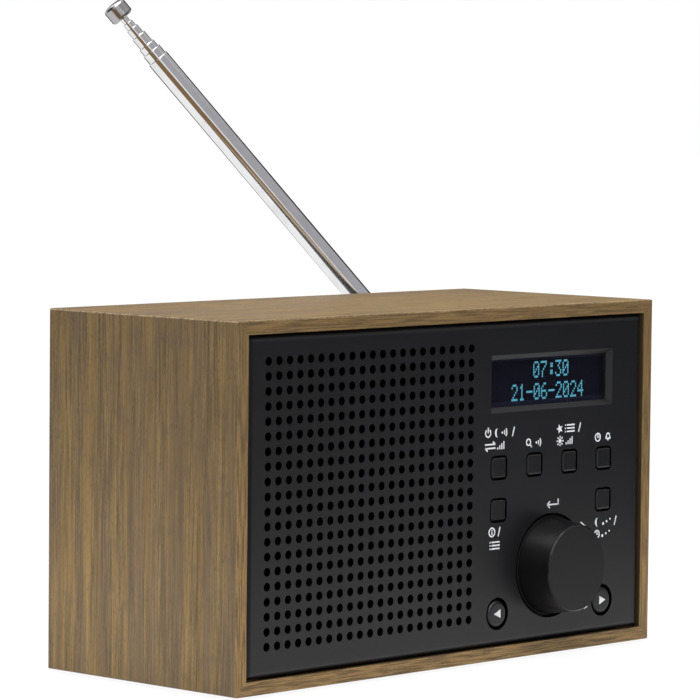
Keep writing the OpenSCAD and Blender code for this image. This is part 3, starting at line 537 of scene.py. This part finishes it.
def reshape(point, rule):
    """Moves the selected vertices, in turn round a point: rule gives the new offset of each."""
    mesh = bmesh.from_edit_mesh(bpy.context.object.data)
    corners = [v for v in mesh.verts if v.select]
    corners.sort(key=lambda v: math.atan2(*(v.co - point).xz))
    for k, corner in enumerate(corners):
        corner.co = point + rule(k, corner.co - point)
    bmesh.update_edit_mesh(bpy.context.object.data)


def ring(point, radius, stroke, start=0.0, end=360.0, corners=40):
    """A circular stroke from start to end degrees, counter-clockwise from the right."""
    bpy.ops.mesh.select_all(action="SELECT")
    bpy.ops.mesh.hide()
    polygon(point, radius + stroke / 2, corners)
    bpy.ops.mesh.inset(thickness=stroke)
    bpy.ops.mesh.delete(type="FACE")
    mesh = bmesh.from_edit_mesh(bpy.context.object.data)
    for face in mesh.faces:
        middle = face.calc_center_median() - point
        angle = math.degrees(math.atan2(middle.z, middle.x)) % 360
        kept = any(start <= angle + turn <= end for turn in (-360, 0, 360))
        face.select_set(not face.hide and not kept)
    bmesh.update_edit_mesh(bpy.context.object.data)
    bpy.ops.mesh.select_mode(type="FACE")
    bpy.ops.mesh.delete(type="FACE")
    bpy.ops.mesh.select_mode(type="VERT")
    bpy.ops.mesh.reveal(select=False)


class Pen:
    """Draws printed strokes on an upright face, in millimetres about a point of it."""

    def __init__(self, point, stroke, size=1.0):
        self.point = point
        self.stroke = stroke
        self.size = size

    def at(self, x, z):
        """The same pen about a point x and z millimetres away."""
        return Pen(self.point + Vector((x, 0.0, z)) * MM, self.stroke, self.size)

    def spread(self, x, z):
        """The point that x and z stand for at the pen's size."""
        return self.point + Vector((x, 0.0, z)) * MM * self.size

    def line(self, x0, z0, x1, z1):
        """A straight stroke."""
        start, end = self.spread(x0, z0), self.spread(x1, z1)
        run = end - start
        reach = run.length + self.stroke * 0.6
        flat((start + end) / 2, reach, self.stroke, math.atan2(run.z, run.x))

    def arc(self, x, z, radius, start=0.0, end=360.0):
        """A round stroke, from start to end degrees."""
        ring(self.spread(x, z), radius * MM * self.size, self.stroke, start, end)

    def spot(self, x, z, radius, corners=20, turn=0.0):
        """A filled disc or polygon."""
        polygon(self.spread(x, z), radius * MM * self.size, corners, turn)


# ---------------------------------------------------------------- pictograms


def slash(pen):
    pen.line(-0.35, -1.1, 0.35, 1.1)


def power_sign(pen):
    pen.arc(0.0, 0.0, 1.0, 125, 415)
    pen.line(0.0, 0.15, 0.0, 1.35)


def swap_sign(pen):
    for side in (-1, 1):
        pen.line(-1.9, side * 0.5, 1.9, side * 0.5)
        pen.line(side * 1.9, side * 0.5, side * 1.1, side * 1.15)


def lens_sign(pen):
    pen.arc(-0.2, 0.25, 0.8)
    pen.line(0.4, -0.35, 1.0, -0.95)


def wave_sign(pen):
    pen.spot(-0.9, 0.0, 0.3, 12)
    for radius in (0.9, 1.7):
        pen.arc(-0.9, 0.0, radius, -40, 40)


def star_sign(pen):
    pen.spot(0.0, 0.0, 1.3, 10, math.pi / 10)
    reshape(pen.point, lambda k, offset: offset * 0.45 if k % 2 else offset)


def sun_sign(pen):
    pen.spot(0.0, 0.0, 0.62)
    for k in range(8):
        across, up = math.cos(k * math.pi / 4), math.sin(k * math.pi / 4)
        pen.line(across * 0.98, up * 0.98, across * 1.25, up * 1.25)


def clock_sign(pen):
    pen.arc(0.0, 0.0, 1.0)
    pen.line(0.0, 0.0, 0.0, 0.55)
    pen.line(0.0, 0.0, 0.4, 0.0)


def bell_sign(pen):
    pen.arc(0.0, 0.15, 0.62, 0, 180)
    for side in (-1, 1):
        pen.line(side * 0.62, 0.15, side * 0.85, -0.6)
    pen.line(-0.85, -0.6, 0.85, -0.6)
    pen.spot(0.0, -0.95, 0.24, 10)


def enter_sign(pen):
    pen.line(2.2, 1.1, 2.2, -0.2)
    pen.line(2.2, -0.2, -2.2, -0.2)
    for side in (-1, 1):
        pen.line(-2.2, -0.2, -1.2, -0.2 + side * 0.8)


def about_sign(pen):
    pen.arc(0.0, 0.0, 1.1)
    pen.line(0.0, -0.5, 0.0, 0.05)
    pen.spot(0.0, 0.5, 0.22, 10)


def list_sign(pen):
    for k in (-1, 0, 1):
        pen.spot(-1.7, k * 0.85, 0.24, 10)
        pen.line(-1.0, k * 0.85, 1.9, k * 0.85)


def moon_sign(pen):
    def hollow(_, offset):
        """Folds the right half back into the left one, less deep."""
        return Vector((-offset.x * 0.45, offset.y, offset.z)) if offset.x > 0 else offset

    pen.spot(0.0, 0.0, 1.2, 32)
    reshape(pen.point, hollow)


def doze_sign(pen):
    for k, size in enumerate((0.40, 0.33, 0.26)):
        pen.spot((k - 1) * 1.4, (k - 1) * 0.55, size)


def volume_sign(pen):
    for k in range(4):
        pen.line(k * 0.8 - 1.2, -0.9, k * 0.8 - 1.2, -0.6 + k * 0.5)


# Pictograms beside the controls: the key, then each sign with its place from the key's centre.
SIGNS = {
    "standby": [(power_sign, -5.0, 10.6), (moon_sign, -0.6, 10.5), (wave_sign, 2.4, 10.5),
                (slash, 6.3, 10.5), (swap_sign, -4.0, 6.6), (volume_sign, 0.7, 6.7)],
    "scan": [(lens_sign, -2.6, 6.6), (wave_sign, 1.8, 6.6)],
    "preset": [(star_sign, -4.6, 10.1), (list_sign, 0.0, 10.1), (slash, 4.6, 10.1),
               (sun_sign, -4.4, 6.4), (volume_sign, -0.2, 6.4)],
    "alarm": [(clock_sign, -2.8, 6.5), (bell_sign, 2.0, 6.6)],
    "info": [(about_sign, -2.8, -6.4), (slash, 0.4, -6.4), (list_sign, -1.6, -10.4)],
    "sleep": [(moon_sign, -2.2, -6.9), (doze_sign, 1.9, -6.9), (slash, 6.0, -6.9),
              (clock_sign, -2.6, -10.6), (doze_sign, 1.6, -10.6)],
}

# Each character is seven rows of five dots, top row first.
DOTS = {
    "0": "01110 10001 10011 10101 11001 10001 01110",
    "1": "00100 01100 00100 00100 00100 00100 01110",
    "2": "01110 10001 00001 00010 00100 01000 11111",
    "3": "11111 00010 00100 00010 00001 10001 01110",
    "4": "00010 00110 01010 10010 11111 00010 00010",
    "5": "11111 10000 11110 00001 00001 10001 01110",
    "6": "00110 01000 10000 11110 10001 10001 01110",
    "7": "11111 00001 00010 00100 01000 01000 01000",
    "8": "01110 10001 10001 01110 10001 10001 01110",
    "9": "01110 10001 10001 01111 00001 00010 01100",
    ":": "00000 00110 00110 00000 00110 00110 00000",
    "-": "00000 00000 00000 11111 00000 00000 00000",
}


# ---------------------------------------------------------------- operators


class RADIO_OT_cabinet(Operator):
    """Veneered boards, battens behind them and rubber feet"""

    bl_idname = "radio.cabinet"
    bl_label = "Cabinet"

    def execute(self, context):
        look = context.scene.radio_cabinet
        paint(wood("veneer_lying", "X", look), "cabinet_top", "cabinet_bottom")
        paint(wood("veneer_upright", "Z", look), "cabinet_left", "cabinet_right")
        paint(softwood("softwood"), "cabinet_battens")
        paint(rubber("foot_rubber", (0.018, 0.018, 0.018)), "feet")
        return {"FINISHED"}


class RADIO_OT_front(Operator):
    """Moulded front panel, keys, knob and back panel"""

    bl_idname = "radio.front"
    bl_label = "Front and back panels"

    def execute(self, context):
        look = context.scene.radio_panel
        paint(moulded("panel_black", look.black, texture=0.34, depth=0.014, change=panel_zones),
              "front_panel", "back_panel", "antenna_bracket")
        paint(moulded("key_black", look.key_black, rough=0.38, texture=0.10, depth=0.004),
              *["key_" + key for key in KEYS])
        paint(moulded("knob_black", look.knob_black, rough=0.38, texture=0.10, depth=0.003,
                      level=0.24, change=knob_zones), "knob")
        paint(moulded("inner_black", (0.014, 0.014, 0.015), rough=0.38, texture=0.4),
              "switch_bodies", "dc_socket", "headphone_socket",
              *["plunger_" + key for key in KEYS])
        return {"FINISHED"}


class RADIO_OT_print(Operator):
    """Pictograms beside the keys, marks round the knob and arrows on the round keys"""

    bl_idname = "radio.print"
    bl_label = "Printed marks"

    def execute(self, context):
        look = context.scene.radio_panel
        white = ink("print_white", look.print_white)
        start_sheet()
        for key, signs in SIGNS.items():
            pen = self.pen("key_" + key, look.stroke, look.sign)
            for sign, x, z in signs:
                sign(pen.at(x, z))
        enter_sign(self.pen("knob", look.stroke, look.sign).at(0.6, 18.6))
        around = self.pen("knob", look.stroke)
        around.line(13.9, 12.0, 16.1, 10.4)
        around.line(15.9, -14.6, 17.3, -14.0)
        end_sheet("printed_marks", "cabinet", white)
        for key, side in ARROWS.items():
            self.arrow(key, side, white)
        return {"FINISHED"}

    def pen(self, node, *size):
        """A pen on the front panel, about the middle of a control."""
        centre = middle_of(node)
        return Pen(Vector((centre.x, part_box("front_panel")[0].y, centre.z)), *size)

    def arrow(self, key, side, white):
        """A triangle on a round key, which points to its side."""
        centre = middle_of("key_" + key)
        start_sheet()
        point = Vector((centre.x - side * 0.3 * MM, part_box("key_" + key)[0].y, centre.z))
        polygon(point, 1.5 * MM, 3, -side * math.pi / 2)
        bpy.ops.transform.resize(value=(1.3, 1.0, 1.0), center_override=point)
        end_sheet("arrow_" + key, "key_" + key, white)


class RADIO_OT_display(Operator):
    """Window, display glass and its lit dots"""

    bl_idname = "radio.display"
    bl_label = "Display"

    def execute(self, context):
        look = context.scene.radio_display
        self.window()
        self.glass(look)
        self.dots(look)
        return {"FINISHED"}

    def window(self):
        """Clear plastic with a few smears."""
        window = Finish("window", {"Transmission Weight": 1.0, "IOR": 1.25,
                                   "Base Color": (0.86, 0.88, 0.96, 1.0)})
        smear = window.noise((14.0, 14.0, 5.0), 0.0, 3.0)
        window.feed("Roughness", 0.02 + smear.rise(0.45, 0.8) * 0.04)
        paint(window, "display_lens")

    def glass(self, look):
        """Navy glass with the grid of its unlit dots, and a paler rim above and below."""
        glass = Finish("display_glass", {"Roughness": 0.2, "Specular IOR Level": 0.15})
        side, tall = glass.axis("X"), glass.axis("Z")
        column, row = [
            count.maths("PINGPONG", count, 0.5).rise(0.02, 0.12)
            for count in (side / (look.pitch_w / MM), tall / (look.pitch_h / MM))]
        tone = glass.mix(column * row, look.navy, times(look.navy, 1.3))
        middle = middle_of("display_lens").z / MM
        top, foot = middle + RIM_ABOVE, middle - RIM_BELOW
        rim = tall.rise(top, top + 0.1) + tall.rise(foot, foot - 0.1)
        glass.feed("Base Color", glass.mix(rim, tone, times(look.navy, 3.8)))
        paint(glass, "lcd_glass")

    def dots(self, look):
        """The lit dots of both lines, as one piece on the glass."""
        lit = Finish("display_light", {"Emission Strength": 1.0, "Roughness": 0.4,
                                       "Base Color": (0.01, 0.04, 0.07, 1.0)})
        fade = lit.noise(even(4.0), 0.0, 1.0)
        lit.feed("Emission Color", lit.mix(fade.rise(0.3, 0.7), times(look.glow, 0.86), look.glow))
        centre, face = middle_of("display_lens"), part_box("lcd_glass")[0].y
        lines = [  # text, shift to the right in millimetres, height in line pitches
            (look.upper, 2.5, 0.5),
            (look.lower, 1.15, -0.5),
        ]
        start_sheet()
        for text, shift, height in lines:
            middle = Vector((centre.x + shift * MM, face, centre.z + height * look.line))
            self.write(look, text, middle)
        end_sheet("display_dots", "cabinet", lit)

    def write(self, look, text, middle):
        """One line of characters about its middle."""
        for k, letter in enumerate(text):
            left = (k - (len(text) - 1) / 2) * look.character - 2 * look.pitch_w
            for row, line in enumerate(DOTS[letter].split()):
                for column, dot in enumerate(line):
                    if dot == "1":
                        across, up = left + column * look.pitch_w, (3 - row) * look.pitch_h
                        flat(middle + Vector((across, 0.0, up)), look.dot_w, look.dot_h)


class RADIO_OT_inside(Operator):
    """Speaker, circuit boards, encoder, leads and screws"""

    bl_idname = "radio.inside"
    bl_label = "Inside"

    def execute(self, context):
        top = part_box("board_standoffs")[1].z / MM + BARE_BOARD
        paint(circuit_board("main_board_green", "Z", top), "main_board")
        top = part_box("control_board")[0].y / MM + BARE_BOARD
        paint(circuit_board("control_board_green", "Y", top), "control_board")
        paint(paper("cone_paper"), "speaker_cone", "speaker_dust_cap")
        paint(rubber("surround_rubber", (0.014, 0.014, 0.015)), "speaker_surround")
        paint(metal("basket_steel", (0.22, 0.23, 0.25), 0.42), "speaker_basket")
        paint(metal("magnet_iron", (0.10, 0.10, 0.11), 0.55), "speaker_magnet")
        paint(metal("zinc", (0.55, 0.55, 0.56), 0.30), "lcd_frame", "encoder_body",
              "encoder_shaft", "speaker_screws", "panel_screws", "board_screws", "back_screws",
              "antenna_swivel_screw")
        paint(metal("brass", (0.62, 0.43, 0.16), 0.28), "board_standoffs")
        paint(moulded("ivory_plastic", (0.62, 0.58, 0.47), rough=0.4, texture=0.5), "encoder_rotor")
        paint(rubber("cable_grey", (0.36, 0.36, 0.38)), "ribbon_cable")
        paint(rubber("cable_red", (0.36, 0.03, 0.03)), "speaker_lead")
        return {"FINISHED"}


class RADIO_OT_antenna(Operator):
    """Plated tubes, swivel and hinge pin of the antenna"""

    bl_idname = "radio.antenna"
    bl_label = "Antenna"

    def execute(self, context):
        look = context.scene.radio_antenna
        polish = {"brushed": 4.0, "uneven": 0.3}
        tubes = [f"antenna_section_{k}" for k in range(1, SECTIONS + 1)]
        paint(metal("chrome", look.chrome, look.roughness, **polish),
              *tubes, "antenna_swivel", "antenna_hinge_pin")
        paint(metal("satin_chrome", look.tip, look.roughness * 3, **polish), "antenna_tip")
        return {"FINISHED"}


class RADIO_OT_stage(Operator):
    """Pale floor, even sky, soft lights, cards for the chrome and the camera"""

    bl_idname = "radio.stage"
    bl_label = "Stage"

    def execute(self, context):
        look = context.scene.radio_stage
        context.scene.view_settings.view_transform = "Standard"
        self.floor(look)
        self.sky(context, look)
        lamps = [  # name, place, width, height, power and the kinds of rays that miss it
            ("key_light", (-0.75, -0.95, 1.15), 1.1, 1.1, look.key_light, []),
            ("fill_light", (-0.10, -0.40, 1.5), 1.2, 1.2, look.key_light * 1.1, []),
            ("top_light", (0.0, 0.02, 0.50), 0.24, 0.24, look.top_light, ["glossy"]),
            ("low_light", (-0.16, 0.02, 0.010), 0.10, 0.02, look.low_light, ["glossy"]),
            ("gloss_light", (-0.40, -0.07, 0.95), 0.25, 0.25, look.gloss_light, ["diffuse"]),
        ]
        for lamp in lamps:
            self.light(*lamp)
        self.flat_floor(look)
        cards = [  # name, bearing, rise, width and height in degrees, tone, distance in metres
            ("flat_screen_front", -80.0, 24.0, 80.0, 40.0, look.screen, 2.2),
            ("flat_screen_side", -24.0, 27.0, 32.0, 34.0, look.screen, 2.2),
            ("flat_front", -60.0, 4.0, 34.0, 20.0, times(look.dark, 3.0), 2.2),
            ("flat_right", -29.0, 4.0, 28.0, 20.0, look.dark, 2.2),
            ("flat_behind", 27.0, 20.0, 70.0, 30.0, look.dark, 2.2),
            ("flat_left", 146.0, 16.0, 76.0, 52.0, look.dark, 0.6),
            ("flat_camera", 172.0, 62.0, 72.0, 34.0, look.dark, 2.2),
            ("flat_lamp", 110.0, 48.0, 24.0, 26.0, LAMP_GLOW, 2.0),
            ("flat_above", 80.0, 48.0, 46.0, 40.0, look.screen, 2.2),
        ]
        for card in cards:
            self.card(*card)
        self.camera(context, look)
        return {"FINISHED"}

    def floor(self, look):
        """White to the camera, metal and glass, with the radio's own shadow; clear from below."""
        floor = add_plane(look.spread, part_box("feet")[0].z)
        floor.name = "floor"
        bpy.ops.object.transform_apply(location=True, rotation=True, scale=True)
        white = Finish("floor_white", {"Roughness": 0.8, "Specular IOR Level": 0.1})
        cloud = white.noise(even(400.0), 0.0, 2.0).rise(0.2, 0.8)
        white.feed("Base Color", white.mix(cloud, times(look.floor, 0.98), look.floor))
        glow = white.node("ShaderNodeEmission",
                          sockets={"Color": (*WHITE, 1.0), "Strength": FLOOR_GLOW})
        shader = Value(white, white.shader.outputs[0])
        share = white.seen() * (white.distance().rise(0.3, 1.2) * 0.10 + 0.90)
        both = white.node("ShaderNodeMixShader", sockets={0: share, 1: shader, 2: glow})
        clear = white.node("ShaderNodeBsdfTransparent")
        under = white.node("ShaderNodeNewGeometry", output="Backfacing")
        ends = white.node("ShaderNodeMixShader", sockets={0: under, 1: both, 2: clear})
        surface = white.tree.nodes["Material Output"].inputs["Surface"]
        white.tree.links.new(ends.socket, surface)
        floor.data.materials.append(white.material)

    def sky(self, context, look):
        """White to the camera, metal and glass, and an even soft light for the rest."""
        world = bpy.data.worlds.new("studio")
        world.use_nodes = True
        background = world.node_tree.nodes["Background"]
        background.inputs["Color"].default_value = (*WHITE, 1.0)
        sky = Nodes(world.node_tree)
        strength = sky.node("ShaderNodeMapRange",
                            sockets={"Value": sky.seen(), "To Min": look.sky})
        sky.tree.links.new(strength.socket, background.inputs["Strength"])
        context.scene.world = world

    def light(self, name, place, wide, tall, watts, missed_by):
        """A soft rectangular lamp that faces the radio."""
        bpy.ops.object.light_add(type="AREA", location=place)
        lamp = bpy.context.object
        lamp.name = name
        lamp.data.shape = "RECTANGLE"
        lamp.data.size = wide
        lamp.data.size_y = tall
        lamp.data.energy = watts
        lamp.rotation_euler = (LAMPS_AIM - lamp.location).to_track_quat("-Z", "Y").to_euler()
        self.hide_from(lamp, missed_by)

    def card(self, name, bearing, rise, wide, tall, tone, far):
        """A flat that only reflections see, placed and sized by angles as the radio sees it."""
        bearing, rise = math.radians(bearing), math.radians(rise)
        level = math.cos(rise)
        toward = Vector((math.cos(bearing) * level, math.sin(bearing) * level, math.sin(rise)))
        card = add_plane(1.0)
        card.name = name
        card.scale = [2 * far * math.tan(math.radians(angle / 2)) for angle in (wide, tall)] + [1.0]
        card.location = toward * far + CARDS_AIM
        card.rotation_euler = (-toward).to_track_quat("Z", "Y").to_euler()
        dull = Finish(name, {**GLOW_ONLY, "Emission Color": (*tone, 1.0)})
        card.data.materials.append(dull.material)
        self.only_reflected(card)

    def flat_floor(self, look):
        """The room on the floor before and behind the pale surroundings, seen in the chrome."""
        flat_floor = add_plane(look.spread / 2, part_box("feet")[0].z + 0.5 * MM)
        flat_floor.name = "flat_floor"
        bpy.ops.object.transform_apply(location=True, rotation=True, scale=True)
        dull = Finish("flat_floor", GLOW_ONLY)
        away = dull.distance()

        def towards(x, y, low, high):
            """1 in a direction across the floor, 0 where the angle's cosine is below low."""
            along = dull.node("ShaderNodeVectorMath", {"operation": "DOT_PRODUCT"},
                              {0: dull.place(), 1: (x, y, 0.0)}, output="Value")
            return (along / away).rise(low, high)

        def beyond(start, end):
            """1 farther out than so many radii of the pale floor."""
            return away.rise(look.pool * start, look.pool * end)

        left = towards(-0.77, -0.64, 0.50, 0.60)
        ahead = towards(-0.09, -0.996, -0.04, 0.06)
        behind = towards(0.60, 0.80, 0.80, 0.90)
        dull.feed("Emission Color", dull.mix(left, times(look.dark, 1.3), look.room))
        outside = left * beyond(0.54, 0.62) + (1 - left) * beyond(0.75, 1.1)
        dull.feed("Alpha", ahead * outside + behind * beyond(1.2, 1.5))
        flat_floor.data.materials.append(dull.material)
        self.only_reflected(flat_floor)

    def only_reflected(self, flat):
        """Leaves a flat to reflections alone: no camera, light or shadow meets it."""
        self.hide_from(flat, ["camera", "diffuse", "shadow"])

    def hide_from(self, thing, kinds):
        """Hides a lamp or a flat from some kinds of rays."""
        for kind in kinds:
            setattr(thing, "visible_" + kind, False)

    def camera(self, context, look):
        """The camera, out in front of the radio's left corner."""
        bpy.ops.object.camera_add(location=CAMERA_PLACE)
        camera = bpy.context.object
        camera.name = "camera"
        camera.data.lens = look.lens
        camera.data.sensor_width = SENSOR
        camera.data.clip_start = 0.01
        roll = Quaternion((0.0, 0.0, 1.0), math.radians(CAMERA_ROLL))
        camera.rotation_mode = "QUATERNION"
        camera.rotation_quaternion = Vector(CAMERA_AHEAD).to_track_quat("-Z", "Y") @ roll
        context.scene.camera = camera


class RADIO_PT_sidebar(Panel):
    """Sidebar panel with one button for each group of pieces"""

    bl_label = "Radio"
    bl_idname = "RADIO_PT_sidebar"
    bl_space_type = "VIEW_3D"
    bl_region_type = "UI"
    bl_category = "Radio"

    def draw(self, context):
        for group in GROUPS:
            settings = getattr(context.scene, group, None)
            box = self.layout.box()
            for name in settings.__annotations__:
                box.prop(settings, name)
        for operator in OPERATORS:
            self.layout.operator(operator.bl_idname)


GROUPS = {
    "radio_cabinet": RadioCabinetSettings,
    "radio_panel": RadioPanelSettings,
    "radio_display": RadioDisplaySettings,
    "radio_antenna": RadioAntennaSettings,
    "radio_stage": RadioStageSettings,
}
OPERATORS = [RADIO_OT_cabinet, RADIO_OT_front, RADIO_OT_print, RADIO_OT_display, RADIO_OT_inside,
             RADIO_OT_antenna, RADIO_OT_stage]


def register():
    for kind in [*GROUPS.values(), *OPERATORS, RADIO_PT_sidebar]:
        bpy.utils.register_class(kind)
    for name, group in GROUPS.items():
        setattr(bpy.types.Scene, name, PointerProperty(type=group))


def unregister():
    for name in GROUPS:
        delattr(bpy.types.Scene, name)
    for kind in reversed([*GROUPS.values(), *OPERATORS, RADIO_PT_sidebar]):
        bpy.utils.unregister_class(kind)


def main():
    register()
    bpy.ops.radio.stage()
    bpy.ops.radio.cabinet()
    bpy.ops.radio.front()
    bpy.ops.radio.print()
    bpy.ops.radio.display()
    bpy.ops.radio.inside()
    bpy.ops.radio.antenna()


if __name__ == "__main__":
    main()
